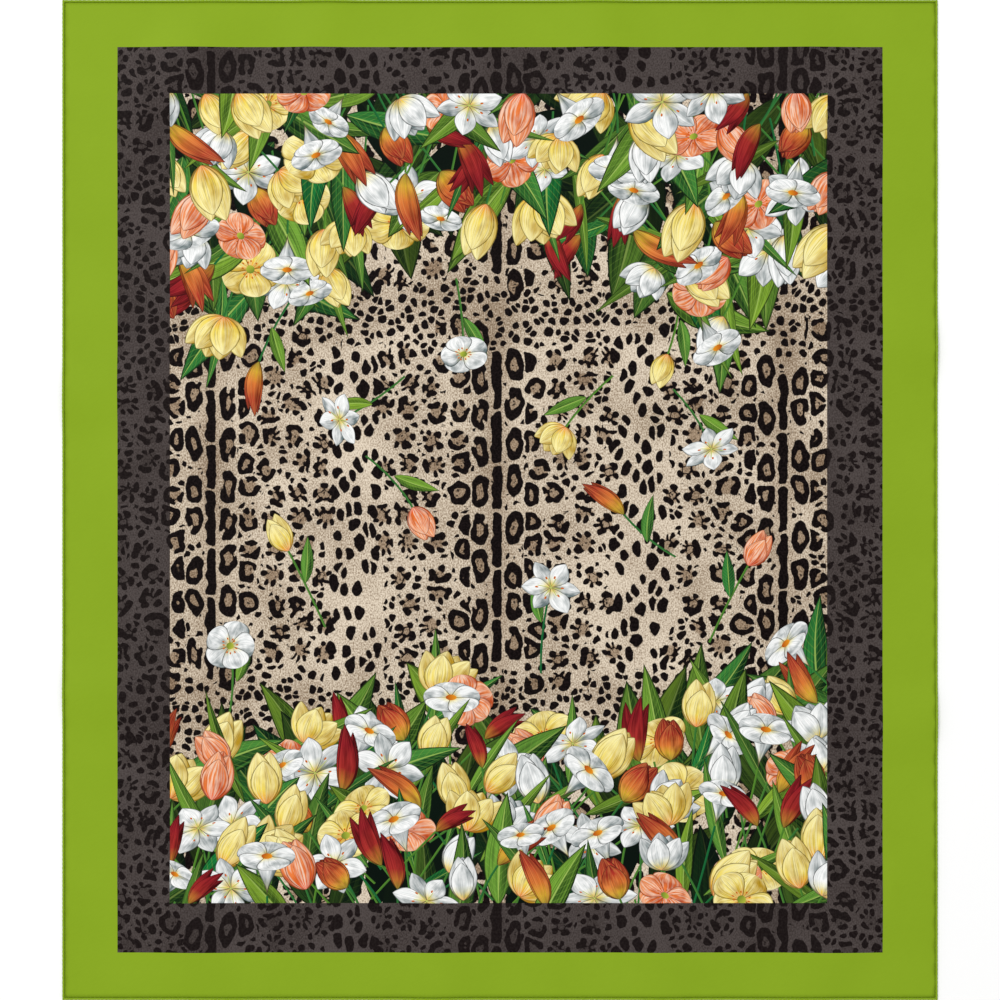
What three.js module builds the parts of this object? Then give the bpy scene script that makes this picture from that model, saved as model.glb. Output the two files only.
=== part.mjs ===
// A rectangular silk scarf laid out flat on a table: one printed panel and a hand-rolled hem on each of its
// four edges. The cloth rests on the table and lifts off it here and there in low, relaxed ripples.
// Millimetres, +Z up. X runs across the scarf and Y along it. The origin is on the table, under its centre.
import * as THREE from "three";

// Driving dimensions
const SCARF_WIDTH = 1200;
const SCARF_LENGTH = 1371;
const CLOTH_THICKNESS = 1.2;
const HEM_WIDTH = 3.4;
const HEM_HEIGHT = 2.8;
const SEAM_GAP = 0.3;

// How finely the cloth and the rolls are divided
const PANEL_CELL = 32;
const HEM_STEP = 30;
const HEM_SIDES = 8;

// The largest ripples. x and y are a ripple's middle and turn is its direction in degrees from +X.
// length runs along the ridge, width across it, and height is how far the cloth lifts off the table.
const RIPPLES = [
  { x: -455, y: 585, turn: 52, length: 420, width: 128, height: 5.6 },
  { x: -250, y: 640, turn: 74, length: 330, width: 110, height: 4.2 },
  { x: 140, y: 615, turn: 97, length: 390, width: 124, height: 4.8 },
  { x: 470, y: 560, turn: 131, length: 460, width: 130, height: 5.9 },
  { x: 560, y: 215, turn: 168, length: 360, width: 118, height: 4.4 },
  { x: -548, y: 150, turn: 14, length: 380, width: 122, height: 4.9 },
  { x: -300, y: 275, turn: 63, length: 520, width: 130, height: 2.6 },
  { x: 255, y: 250, turn: 118, length: 480, width: 126, height: 2.3 },
  { x: -205, y: -215, turn: 134, length: 540, width: 130, height: 2.7 },
  { x: 330, y: -170, turn: 57, length: 500, width: 128, height: 2.4 },
  { x: 552, y: -305, turn: 8, length: 350, width: 116, height: 4.6 },
  { x: -556, y: -270, turn: 171, length: 330, width: 112, height: 4.1 },
  { x: -440, y: -580, turn: 127, length: 470, width: 130, height: 5.4 },
  { x: -90, y: -635, turn: 86, length: 370, width: 120, height: 4.5 },
  { x: 215, y: -630, turn: 101, length: 300, width: 106, height: 3.8 },
  { x: 475, y: -600, turn: 48, length: 400, width: 126, height: 5.2 },
];

// A soft hump: 1 in the middle, 0 from one half length or width outwards, level at both.
function hump(offset, extent) {
  const share = Math.min(1, Math.abs(offset) / (extent / 2));
  return Math.cos((share * Math.PI) / 2) ** 2;
}

// How far the underside of the cloth is off the table at a place.
function lift(x, y) {
  let height = 0;
  for (const ripple of RIPPLES) {
    const turn = THREE.MathUtils.degToRad(ripple.turn);
    const dx = x - ripple.x;
    const dy = y - ripple.y;
    const along = dx * Math.cos(turn) + dy * Math.sin(turn);
    const across = dy * Math.cos(turn) - dx * Math.sin(turn);
    height += ripple.height * hump(along, ripple.length) * hump(across, ripple.width);
  }
  return height;
}

// A closed body through rings that each have the same number of points, with flat ends.
function bodyThroughRings(rings) {
  const size = rings[0].length;
  const triangles = [];
  for (let ring = 0; ring + 1 < rings.length; ring++) {
    for (let side = 0; side < size; side++) {
      const next = (side + 1) % size;
      const here = ring * size;
      const ahead = here + size;
      triangles.push(here + side, here + next, ahead + next);
      triangles.push(here + side, ahead + next, ahead + side);
    }
  }
  const last = (rings.length - 1) * size;
  for (let side = 1; side + 1 < size; side++) {
    triangles.push(0, side + 1, side);
    triangles.push(last, last + side, last + side + 1);
  }
  return new THREE.BufferGeometry().setFromPoints(rings.flat()).setIndex(triangles);
}

// A wall of even thickness over a grid of places, following the ripples on both of its faces.
function clothWall(width, length) {
  const columns = Math.round(width / PANEL_CELL);
  const rows = Math.round(length / PANEL_CELL);
  const perRow = columns + 1;
  const perFace = perRow * (rows + 1);
  const points = [];
  for (const rise of [0, CLOTH_THICKNESS]) {
    for (let row = 0; row <= rows; row++) {
      for (let column = 0; column <= columns; column++) {
        const x = (column / columns - 0.5) * width;
        const y = (row / rows - 0.5) * length;
        points.push(new THREE.Vector3(x, y, lift(x, y) + rise));
      }
    }
  }
  const triangles = [];
  for (let row = 0; row < rows; row++) {
    for (let column = 0; column < columns; column++) {
      const a = row * perRow + column;
      const [b, c, d] = [a + 1, a + 1 + perRow, a + perRow];
      triangles.push(a, c, b, a, d, c);
      triangles.push(a + perFace, b + perFace, c + perFace);
      triangles.push(a + perFace, c + perFace, d + perFace);
    }
  }
  for (const [from, to] of edgeSteps(columns, rows, perRow)) {
    triangles.push(from, to, to + perFace, from, to + perFace, from + perFace);
  }
  return new THREE.BufferGeometry().setFromPoints(points).setIndex(triangles);
}

// The steps round the rim of the grid, anticlockwise seen from above.
function edgeSteps(columns, rows, perRow) {
  const steps = [];
  const top = rows * perRow;
  for (let column = 0; column < columns; column++) {
    steps.push([column, column + 1]);
    steps.push([top + column + 1, top + column]);
  }
  for (let row = 0; row < rows; row++) {
    const here = row * perRow;
    const ahead = here + perRow;
    steps.push([here + columns, ahead + columns]);
    steps.push([ahead, here]);
  }
  return steps;
}

// A rolled hem between two places on the table. Its section is a rounded roll with a flat underside.
function rolledHem(start, end) {
  const steps = Math.round(start.distanceTo(end) / HEM_STEP);
  const ahead = end.clone().sub(start).normalize();
  const side = new THREE.Vector2(-ahead.y, ahead.x);
  const cornerReach = 1 / Math.cos(Math.PI / HEM_SIDES);
  const rings = [];
  for (let step = 0; step <= steps; step++) {
    const place = start.clone().lerp(end, step / steps);
    const floor = lift(place.x, place.y);
    const ring = [];
    for (let corner = 0; corner < HEM_SIDES; corner++) {
      const angle = ((corner + 0.5) * 2 * Math.PI) / HEM_SIDES;
      const out = (Math.cos(angle) * cornerReach * HEM_WIDTH) / 2;
      const up = (Math.sin(angle) * cornerReach * HEM_HEIGHT) / 2;
      ring.push(
        new THREE.Vector3(
          place.x + side.x * out,
          place.y + side.y * out,
          floor + HEM_HEIGHT / 2 + up,
        ),
      );
    }
    rings.push(ring);
  }
  return bodyThroughRings(rings);
}

const silk = new THREE.MeshStandardMaterial({ color: 0xb9a78d, roughness: 0.45, metalness: 0 });
const hemSilk = new THREE.MeshStandardMaterial({ color: 0x8baa29, roughness: 0.45, metalness: 0 });

const scarf = new THREE.Group();

function addPiece(name, geometry, material) {
  const mesh = new THREE.Mesh(geometry, material);
  mesh.name = name;
  scarf.add(mesh);
}

// The printed panel, inside the four hems
const hemSpace = 2 * (HEM_WIDTH + SEAM_GAP);
addPiece("panel", clothWall(SCARF_WIDTH - hemSpace, SCARF_LENGTH - hemSpace), silk);

// The hems: the side ones run the whole length, and the end ones fit between them
const sideX = (SCARF_WIDTH - HEM_WIDTH) / 2;
const endY = (SCARF_LENGTH - HEM_WIDTH) / 2;
const sideEnd = SCARF_LENGTH / 2;
const endEnd = SCARF_WIDTH / 2 - HEM_WIDTH - SEAM_GAP;
const HEMS = [
  { name: "hem_left", start: [-sideX, -sideEnd], end: [-sideX, sideEnd] },
  { name: "hem_right", start: [sideX, -sideEnd], end: [sideX, sideEnd] },
  { name: "hem_bottom", start: [-endEnd, -endY], end: [endEnd, -endY] },
  { name: "hem_top", start: [-endEnd, endY], end: [endEnd, endY] },
];
for (const { name, start, end } of HEMS) {
  addPiece(name, rolledHem(new THREE.Vector2(...start), new THREE.Vector2(...end)), hemSilk);
}

export default scarf;
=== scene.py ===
# %% [markdown]
# # A printed silk scarf, laid out flat
# The real scarf is one piece of silk twill, printed and then hemmed by hand: the maker rolls each edge over
# to the face and holds it with small slip stitches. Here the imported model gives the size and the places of
# the cloth and its four hems. This lesson dresses them: a thin cloth that carries the print, soft rolled
# hems and the stitches that hold them.

# %% Load the frame
import math
import random

import bpy
import numpy as np
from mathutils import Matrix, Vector
from mathutils.geometry import delaunay_2d_cdt


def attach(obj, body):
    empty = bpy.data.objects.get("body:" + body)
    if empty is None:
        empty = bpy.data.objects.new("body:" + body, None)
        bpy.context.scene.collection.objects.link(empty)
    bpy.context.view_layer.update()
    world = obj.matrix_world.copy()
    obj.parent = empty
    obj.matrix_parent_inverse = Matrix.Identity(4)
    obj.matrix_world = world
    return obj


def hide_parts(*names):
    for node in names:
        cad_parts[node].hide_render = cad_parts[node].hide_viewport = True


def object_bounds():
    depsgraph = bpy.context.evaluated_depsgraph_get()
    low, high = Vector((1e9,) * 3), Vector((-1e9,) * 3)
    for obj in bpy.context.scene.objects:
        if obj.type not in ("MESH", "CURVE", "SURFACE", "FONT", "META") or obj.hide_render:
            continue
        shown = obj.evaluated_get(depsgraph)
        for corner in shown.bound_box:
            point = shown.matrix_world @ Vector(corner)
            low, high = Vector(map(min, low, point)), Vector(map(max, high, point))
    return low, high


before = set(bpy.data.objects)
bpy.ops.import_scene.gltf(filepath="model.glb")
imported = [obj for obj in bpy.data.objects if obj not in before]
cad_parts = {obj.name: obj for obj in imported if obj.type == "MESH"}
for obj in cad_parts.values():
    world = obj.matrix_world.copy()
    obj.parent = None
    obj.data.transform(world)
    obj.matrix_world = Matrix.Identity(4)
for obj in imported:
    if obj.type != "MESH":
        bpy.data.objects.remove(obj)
CAD_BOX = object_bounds()
LOW, HIGH = (np.array(corner) for corner in CAD_BOX)
SCARF_WIDTH, SCARF_LENGTH = (HIGH - LOW)[:2]
MM = 0.001
print(f"the scarf is {SCARF_WIDTH:.3f} by {SCARF_LENGTH:.3f} m")

# %% [markdown]
# ## The view
# The scarf is seen from straight above, so that its length fills the picture from top to bottom. A long
# lens from far away keeps the edges of the cloth straight and its near and far ripples the same size.

# %% Camera above the scarf
LENS = 100.0
SENSOR = 36.0


def camera_above(length):
    camera = bpy.data.objects.new("camera", bpy.data.cameras.new("camera"))
    camera.data.lens = LENS
    camera.data.sensor_width = SENSOR
    camera.location = (0, 0, length / 2 / (SENSOR / 2 / LENS))
    bpy.context.scene.collection.objects.link(camera)
    return camera


bpy.context.scene.camera = camera_above(SCARF_LENGTH)
print(f"the camera is {bpy.context.scene.camera.location.z:.2f} m up")

# %% [markdown]
# ## Soft light and a pale floor
# The scarf is lit as evenly as flat artwork, so that its colours read true. A white world gives most of the
# light, and one broad lamp on the upper left gives just enough direction to show the ripples.

# %% Studio
FLOOR_REACH = 40.0
FLOOR_DROP = 0.2 * MM
FLOOR_COLOUR = (0.985, 0.985, 0.98)
WORLD_STRENGTH = 0.755
LAMP_POWER = 205.0
LAMP_SIZE = 3.6
LAMP_PLACE = Vector((-2.6, 2.9, 6.2))


def soft_world():
    world = bpy.data.worlds.new("studio")
    world.use_nodes = True
    background = world.node_tree.nodes["Background"]
    background.inputs["Color"].default_value = (1, 1, 1, 1)
    background.inputs["Strength"].default_value = WORLD_STRENGTH
    return world


def broad_lamp():
    light = bpy.data.lights.new("lamp", "AREA")
    light.shape = "DISK"
    light.size = LAMP_SIZE
    light.energy = LAMP_POWER
    lamp = bpy.data.objects.new("lamp", light)
    lamp.location = LAMP_PLACE
    lamp.rotation_euler = (-LAMP_PLACE).to_track_quat("-Z", "Y").to_euler()
    bpy.context.scene.collection.objects.link(lamp)


def pale_floor():
    corners = [(-1, -1), (1, -1), (1, 1), (-1, 1)]
    mesh = bpy.data.meshes.new("floor")
    points = [(x * FLOOR_REACH, y * FLOOR_REACH, -FLOOR_DROP) for x, y in corners]
    mesh.from_pydata(points, [], [(0, 1, 2, 3)])
    finish = bpy.data.materials.new("pale floor")
    finish.use_nodes = True
    paint = finish.node_tree.nodes["Principled BSDF"]
    paint.inputs["Base Color"].default_value = (*FLOOR_COLOUR, 1)
    paint.inputs["Roughness"].default_value = 0.9
    paint.inputs["Specular IOR Level"].default_value = 0.1
    mesh.materials.append(finish)
    floor = bpy.data.objects.new("floor", mesh)
    bpy.context.scene.collection.objects.link(floor)


bpy.context.scene.world = soft_world()
bpy.context.scene.view_settings.view_transform = "Standard"
broad_lamp()
pale_floor()

# %% [markdown]
# ## How the cloth lies
# Silk never lies dead flat. It lifts off the table in low, relaxed ripples, most of them near the edges.
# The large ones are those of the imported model, so the cloth stays where the model says. Each is a soft
# hump, long one way and narrow the other. A few small creases are added, because light cloth has finer
# ones between the large.

# %% Ripples
# x and y are a ripple's middle and turn is its direction, in degrees from +X. length runs along the ridge,
# width across it, and height is how far the cloth lifts. All but turn are in millimetres.
RIPPLES = np.array([
    (-455, 585, 52, 420, 128, 5.6), (-250, 640, 74, 330, 110, 4.2),
    (140, 615, 97, 390, 124, 4.8), (470, 560, 131, 460, 130, 5.9),
    (560, 215, 168, 360, 118, 4.4), (-548, 150, 14, 380, 122, 4.9),
    (-300, 275, 63, 520, 130, 2.6), (255, 250, 118, 480, 126, 2.3),
    (-205, -215, 134, 540, 130, 2.7), (330, -170, 57, 500, 128, 2.4),
    (552, -305, 8, 350, 116, 4.6), (-556, -270, 171, 330, 112, 4.1),
    (-440, -580, 127, 470, 130, 5.4), (-90, -635, 86, 370, 120, 4.5),
    (215, -630, 101, 300, 106, 3.8), (475, -600, 48, 400, 126, 5.2),
])
CREASES = np.array([
    (-330, 470, 41, 210, 34, 0.8), (60, 500, 112, 260, 38, 0.7),
    (385, 395, 128, 230, 30, 0.9), (-480, -90, 160, 190, 32, 0.8),
    (-120, 120, 58, 280, 40, 0.6), (190, 30, 134, 240, 36, 0.6),
    (455, -60, 22, 200, 34, 0.8), (-310, -420, 118, 250, 36, 0.8),
    (20, -440, 74, 220, 32, 0.7), (350, -430, 52, 240, 38, 0.9),
    (-520, 420, 82, 180, 30, 0.7), (535, -490, 96, 190, 30, 0.8),
])
print(f"{len(RIPPLES)} ripples and {len(CREASES)} small creases")


# %% Height of the cloth
def hump(offset, extent):
    """1 in the middle, 0 from one half of the extent outwards, level at both."""
    share = np.minimum(1, np.abs(offset) / (extent / 2))
    return np.cos(share * math.pi / 2) ** 2


def along_and_across(x, y, ridge):
    middle_x, middle_y, turn = ridge[0] * MM, ridge[1] * MM, math.radians(ridge[2])
    dx, dy = x - middle_x, y - middle_y
    along = dx * math.cos(turn) + dy * math.sin(turn)
    across = dy * math.cos(turn) - dx * math.sin(turn)
    return along, across


def lift(x, y):
    """How far the underside of the cloth is off the table."""
    height = np.zeros_like(x, dtype=float)
    for ridge in (*RIPPLES, *CREASES):
        along, across = along_and_across(x, y, ridge)
        length, width, rise = ridge[3:] * MM
        height += rise * hump(along, length) * hump(across, width)
    return height


middle = np.zeros(1)
print(f"the cloth is {lift(middle, middle)[0] / MM:.1f} mm up at its middle")

# %% [markdown]
# ## The print, as outlines
# The print is part of the cloth, so it isn't laid on as separate pieces. Each leaf, stem and petal is one
# simple shape with its own axis: a runs along it from 0 to 1, and b runs across it from -1 to 1 at its
# widest place. A rule gives the width at each a, so that the same rule later paints the veins and the
# shading. The shapes are stacked as a painter stacks them, and only what shows is kept.

# %% A shape of the print
# A form is (peak, fullness): a peak over 1 puts the widest place near the tip, and a low fullness makes
# the ends blunt. A fullness of 0 is a plain band, as a stem is.
POINTED, CUPPED, BROAD, SLIM, FUNNEL = (1.12, 0.86), (0.95, 0.72), (1.55, 0.52), (0.86, 0.8), (1.9, 0.9)
LEAF_FORM, BAND, DOT = (0.8, 0.95), (1.0, 0.0), (1.0, 0.5)
PAINTED_LIGHT = np.array([-0.55, 0.84])
chance = random.Random(41)
layers = []


def width_at(along, form):
    peak, fullness = form
    return np.sin(math.pi * along**peak).clip(0, 1) ** fullness


def outline_of(form, bend, steps):
    """The shape's rim in its own a and b, up one side and down the other."""
    along = (1 - np.cos(np.linspace(0, math.pi, steps + 1))) / 2
    half = width_at(along, form)
    middle_line = bend * along**2
    up = np.stack([along, middle_line + half], 1)
    down = np.stack([along, middle_line - half], 1)[::-1]
    if form[1] > 0:
        down = down[1:-1]
    return np.concatenate([up, down])


def turned(degrees):
    angle = math.radians(degrees)
    return np.array([
        [math.cos(angle), -math.sin(angle)],
        [math.sin(angle), math.cos(angle)],
    ])


def shape(plane, start, turn, reach, half, paint, form, bend=0.0, level=0.0, steps=9):
    """Adds one shape. plane is (origin, matrix) of the flower's own flat plane, with lengths in metres."""
    origin, matrix = plane
    axes = matrix @ turned(turn) @ np.diag([reach, half])
    base = origin + matrix @ (turned(turn) @ np.array([start, 0.0]))
    side = axes[:, 1] / np.linalg.norm(axes[:, 1])
    layers.append({
        "paint": paint, "form": form, "bend": bend, "base": base, "axes": axes,
        "tone": (chance.random(), float(side @ PAINTED_LIGHT), level),
        "outline": base + outline_of(form, bend, steps) @ axes.T,
    })


def plane_at(x, y, turn=0.0, slant=1.0, slant_turn=0.0):
    """A flower's flat plane on the print. slant under 1 squashes it one way, as a turned flower looks."""
    squash = turned(slant_turn) @ np.diag([slant, 1.0]) @ turned(-slant_turn)
    return np.array([x, y]), squash @ turned(turn)


# %% [markdown]
# ## Flowers and leaves
# The print mixes generic garden flowers: open lilies, tulips, cups, poppies, trumpets and slim buds, with
# leaves between them. Each flower is a function of its size and paint. Petals that lie behind are given a
# level, which darkens them, and the small draws of chance keep two flowers of a kind from looking alike.
# Where a list gives a flower's petals, each is (turn, reach, half width, bend, level), the hindmost first.

# %% Flowers
STEM_HALF = 1.5 * MM


def stem(x, y, turn, reach, paint="stem"):
    """A stem that ends at x, y under a flower that faces turn."""
    back = plane_at(x, y, turn + 180)
    shape(back, 0, 0, reach, STEM_HALF, paint, BAND, chance.uniform(-16, 16), steps=7)


def lily(x, y, turn, size, paint):
    plane = plane_at(x, y, turn + chance.uniform(-30, 30), chance.uniform(0.62, 0.95), turn)
    for back in (1, 0):
        for number in range(3):
            way = 120 * number + 60 * back + chance.uniform(-8, 8)
            reach = size * chance.uniform(0.9, 1.04)
            half = size * (0.27 if back else 0.32)
            bend = chance.uniform(-0.3, 0.3)
            shape(plane, 0, way, reach, half, paint, POINTED, bend, 0.4 * back)
    for number in range(6):
        way = 60 * number + chance.uniform(-14, 14)
        reach = size * chance.uniform(0.3, 0.44)
        shape(plane, 0, way, reach, 0.55 * MM, "filament", BAND, steps=2)
        shape(plane, reach - 1.6 * MM, way + 8, 5.2 * MM, 1.5 * MM, "anther", DOT, steps=3)


def tulip(x, y, turn, size, paint):
    plane = plane_at(x, y, turn, chance.uniform(0.9, 1.05), turn)
    sway = chance.uniform(-5, 5)
    petals = [
        (0, 0.97, 0.27, 0.0, 0.6), (-17, 0.94, 0.25, 0.75, 0.45), (17, 0.94, 0.25, -0.75, 0.45),
        (-13, 1.0, 0.26, 0.35, 0.2), (12, 1.02, 0.27, -0.4, 0.1), (sway, 0.86, 0.28, 0.0, 0.0),
    ]
    for way, reach, half, bend, level in petals:
        long = size * reach * chance.uniform(0.95, 1.05)
        shape(plane, 0, way, long, size * half, paint, CUPPED, bend, level)


def cup(x, y, turn, size, paint):
    """A wide open cup, seen from the side."""
    plane = plane_at(x, y, turn, chance.uniform(0.85, 1.0), turn)
    petals = [
        (-10, 0.95, 0.3, 0.2, 0.6), (13, 0.95, 0.3, -0.2, 0.55), (-44, 0.98, 0.24, 0.6, 0.4),
        (46, 0.95, 0.24, -0.6, 0.35), (-25, 0.92, 0.27, 0.2, 0.15), (20, 0.86, 0.3, -0.25, 0.0),
    ]
    for way, reach, half, bend, level in petals:
        long = size * reach * chance.uniform(0.94, 1.06)
        shape(plane, 0, way, long, size * half, paint, CUPPED, bend, level)


def poppy(x, y, turn, size, paint):
    plane = plane_at(x, y, turn + chance.uniform(-30, 30), chance.uniform(0.66, 0.95), turn)
    for place, number in enumerate((0, 2, 4, 1, 3)):
        way = 72 * number + chance.uniform(-7, 7)
        long = size * chance.uniform(0.82, 0.95)
        bend = chance.uniform(-0.15, 0.15)
        shape(plane, 0, way, long, size * 0.5, paint, BROAD, bend, 0.32 - 0.08 * place, 10)
    for number in range(11):
        way = 360 / 11 * number + chance.uniform(-8, 8)
        shape(plane, size * chance.uniform(0.17, 0.24), way, 3.8 * MM, 1.2 * MM, "anther", DOT, steps=3)
    shape(plane, -size * 0.13, 0, size * 0.26, size * 0.13, "throat", DOT, steps=6)


def trumpet(x, y, turn, size, paint):
    """A funnel seen from the side, with a wide mouth of five lobes."""
    bend = chance.uniform(-0.4, 0.4)
    shape(plane_at(x, y, turn), 0, 0, size * 0.9, size * 0.21, paint, FUNNEL, bend, 0.5)
    ahead = turned(turn)[:, 0] * size * 0.78
    mouth = plane_at(x + ahead[0], y + ahead[1], turn + chance.uniform(-20, 20), 0.52, turn)
    for number in (0, 1, 4, 2, 3):
        way = 72 * number + chance.uniform(-5, 5)
        long = size * chance.uniform(0.54, 0.62)
        level = 0.3 if number in (0, 1, 4) else 0.0
        shape(mouth, 0, way, long, size * 0.36, paint, BROAD, 0.0, level, 10)
    shape(mouth, -size * 0.11, 0, size * 0.22, size * 0.11, "gold throat", DOT, steps=5)


def bud(x, y, turn, size, paint):
    plane = plane_at(x, y, turn)
    lean = chance.choice((-1, 1)) * chance.uniform(1.5, 2.5)
    petals = [(-8, 0.9, 0.15, lean, 0.5), (8, 0.96, 0.15, 0.7 * lean, 0.3), (0, 1.0, 0.17, lean, 0.0)]
    for way, reach, half, bend, level in petals:
        shape(plane, 0, way, size * reach * 1.15, size * half, paint, SLIM, bend, level, 12)


def leaf(x, y, turn, reach, half, level=0.0):
    bend = chance.uniform(-1.0, 1.0) * min(3.4, 0.27 * reach / half)
    shape(plane_at(x, y, turn), 0, 0, reach, half, "leaf", LEAF_FORM, bend, level, 12)


# %% [markdown]
# ## Where the flowers grow
# The flowers hang from the top of the printed field and grow up from its bottom, in two drifts that swell
# and thin along their length, with a few loose stems between. The drift's depth is a smooth curve through
# a short table, and a jittered grid fills it. The paints are dealt from a shuffled deck, so that no colour
# gathers in one place.

# %% Border, band and field
# How far each edge of the field and of the dark band is from the scarf's edge
BORDER = {"left": 75.6 * MM, "right": 75.6 * MM, "top": 64.6 * MM, "bottom": 65.2 * MM}
BAND_WIDTH = {"left": 72.0 * MM, "right": 76.0 * MM, "top": 63.8 * MM, "bottom": 67.8 * MM}


def inset(*rims):
    """The box (left, bottom, right, top) that is left inside these rims."""
    left, right, top, bottom = (
        sum(rim[side] for rim in rims) for side in ("left", "right", "top", "bottom")
    )
    return (
        -SCARF_WIDTH / 2 + left, -SCARF_LENGTH / 2 + bottom,
        SCARF_WIDTH / 2 - right, SCARF_LENGTH / 2 - top,
    )


BAND_BOX = inset(BORDER)
FIELD = inset(BORDER, BAND_WIDTH)
print("the printed field is", [round(float(v), 3) for v in FIELD])

# %% The drifts
# x across the field from 0 to 1, and how deep each drift is there, in metres
TOP_DRIFT = [(0, 0.30), (0.16, 0.335), (0.36, 0.20), (0.52, 0.17), (0.7, 0.27), (0.86, 0.31), (1, 0.22)]
BOTTOM_DRIFT = [(0, 0.235), (0.14, 0.2), (0.32, 0.31), (0.5, 0.3), (0.66, 0.21), (0.84, 0.31), (1, 0.38)]
FLOWER_SPACING = 54 * MM
FLOWER_SIZE = 53 * MM
ROW_STEP = 0.82 * FLOWER_SPACING
LEAF_BEHIND = 55 * MM
# The share of the places that get a leaf at the back, a leaf at the front, a broad one, a second stem
BACK_LEAVES, FRONT_LEAVES, BROAD_LEAVES, SECOND_STEMS = 0.8, 0.55, 0.45, 0.35
DECK = [
    (trumpet, "white petal", 1.15), (lily, "white petal", 1.0), (cup, "white petal", 1.15),
    (trumpet, "white petal", 1.3), (lily, "white petal", 1.05), (tulip, "white petal", 1.2),
    (tulip, "cream petal", 1.45), (tulip, "cream petal", 1.25), (poppy, "cream petal", 0.95),
    (cup, "cream petal", 1.3), (poppy, "coral petal", 0.8), (tulip, "coral petal", 1.25),
    (bud, "crimson petal", 1.35), (bud, "crimson petal", 1.1), (tulip, "flame petal", 1.15),
    (bud, "flame petal", 1.45),
]


def deal():
    """Flowers one by one from a shuffled deck, which is shuffled again when it runs out."""
    while True:
        hand = DECK[:]
        chance.shuffle(hand)
        yield from hand


def drift_places(table, edge, way):
    """Jittered places from the field's edge inwards, with their distance from that edge."""
    rows = int(max(depth for _, depth in table) / ROW_STEP) + 1
    columns = int((FIELD[2] - FIELD[0]) / FLOWER_SPACING) + 2
    for row in range(rows):
        for column in range(columns):
            jitter_x, jitter_y = chance.uniform(-0.3, 0.3), chance.uniform(-0.32, 0.32)
            x = FIELD[0] + (column - 0.3 + 0.5 * (row % 2) + jitter_x) * FLOWER_SPACING
            inwards = (row + 0.15 + jitter_y) * ROW_STEP
            share = (x - FIELD[0]) / (FIELD[2] - FIELD[0])
            depth = np.interp(share, *zip(*table)) * chance.uniform(0.86, 1.06)
            if inwards < depth:
                yield x, edge + way * inwards, inwards


def leaf_behind(x, y, turn, reaches, widths, level):
    """A leaf that starts behind x, y. reaches are in metres, half widths in millimetres."""
    back = turned(turn)[:, 0] * LEAF_BEHIND
    leaf(x - back[0], y - back[1], turn, chance.uniform(*reaches), chance.uniform(*widths) * MM, level)


def grow_drift(table, edge, way):
    """Plants one drift. way is 1 from the bottom upwards and -1 from the top downwards."""
    places = sorted(drift_places(table, edge, way), key=lambda place: -place[2])
    deepest = max(inwards for _, _, inwards in places)
    for x, y, inwards in places:
        if chance.random() < BACK_LEAVES:
            turn = 90 * way + chance.uniform(-55, 55)
            buried = chance.uniform(0.5, 1) * min(1, 1.25 - inwards / deepest)
            leaf_behind(x, y, turn, (0.11, 0.17), (18, 29), buried)
    flowers = deal()
    for x, y, inwards in places:
        turn = 90 * way + chance.uniform(-48, 48)
        if chance.random() < FRONT_LEAVES:
            lean = turn + chance.choice((-1, 1)) * chance.uniform(12, 42)
            widths = (16, 24) if chance.random() < BROAD_LEAVES else (7, 12)
            leaf_behind(x, y, lean, (0.11, 0.165), widths, chance.uniform(0, 0.4))
        stem(x, y, turn, min(0.16, inwards + 0.03))
        if chance.random() < SECOND_STEMS:
            stem(x + 0.02, y, turn + chance.uniform(-25, 25), min(0.12, inwards + 0.03))
        flower, paint, size = next(flowers)
        flower(x, y, turn, FLOWER_SIZE * size * chance.uniform(0.88, 1.1), paint)


# %% Loose stems in the middle of the field
# x and y in metres, the way the flower faces in degrees, its kind, paint and size
LOOSE = [
    (-0.33, 0.19, 250, bud, "flame petal", 1.0), (-0.22, 0.11, 205, lily, "white petal", 0.66),
    (-0.29, -0.07, 118, tulip, "cream petal", 0.8), (-0.12, -0.01, 300, tulip, "coral petal", 0.85),
    (-0.05, 0.2, 270, poppy, "white petal", 0.6), (0.09, 0.1, 235, cup, "cream petal", 0.8),
    (0.07, -0.12, 75, lily, "white petal", 0.7), (0.17, -0.02, 130, bud, "flame petal", 0.95),
    (0.29, 0.07, 290, lily, "white petal", 0.68), (0.34, -0.09, 60, tulip, "coral petal", 0.8),
    (-0.37, -0.2, 100, poppy, "white petal", 0.62), (0.23, 0.2, 250, tulip, "cream petal", 0.75),
]


def grow_loose():
    for x, y, turn, flower, paint, size in LOOSE:
        stem(x, y, turn, chance.uniform(0.08, 0.12))
        back = turned(turn)[:, 0] * 0.05
        leaf(x - back[0], y - back[1], turn + chance.choice((-1, 1)) * 34, 0.065, 9 * MM)
        flower(x, y, turn, FLOWER_SIZE * size * 1.2, paint)


grow_loose()
grow_drift(TOP_DRIFT, FIELD[3], -1)
grow_drift(BOTTOM_DRIFT, FIELD[1], 1)
print(f"{len(layers)} shapes are stacked in the print")

# %% [markdown]
# ## Cutting the cloth's mesh along the print
# A constrained triangulation turns lines into mesh edges. The first pass takes every outline, and asks of
# each triangle which shape is uppermost there. Lines that lie hidden under another shape divide nothing,
# so only those between different shapes go on to the second pass, which also gets a grid of points, finer
# along the ripples, so that the cloth can bend.

# %% Which shape lies on top
GROUNDS = ["green border", "dark band", "leopard"]


def in_box(points, box):
    x, y = points.T
    return (x > box[0]) & (x < box[2]) & (y > box[1]) & (y < box[3])


def inside(points, rim):
    """Whether each point lies inside the closed rim: a line from it to the right crosses the rim oddly."""
    x, y = points[:, :1], points[:, 1:]
    x1, y1 = rim.T
    x2, y2 = np.roll(rim, -1, 0).T
    rise = np.where(y2 == y1, 1.0, y2 - y1)
    crosses = ((y1 > y) != (y2 > y)) & (x < (x2 - x1) * (y - y1) / rise + x1)
    return crosses.sum(1) % 2 == 1


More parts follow.
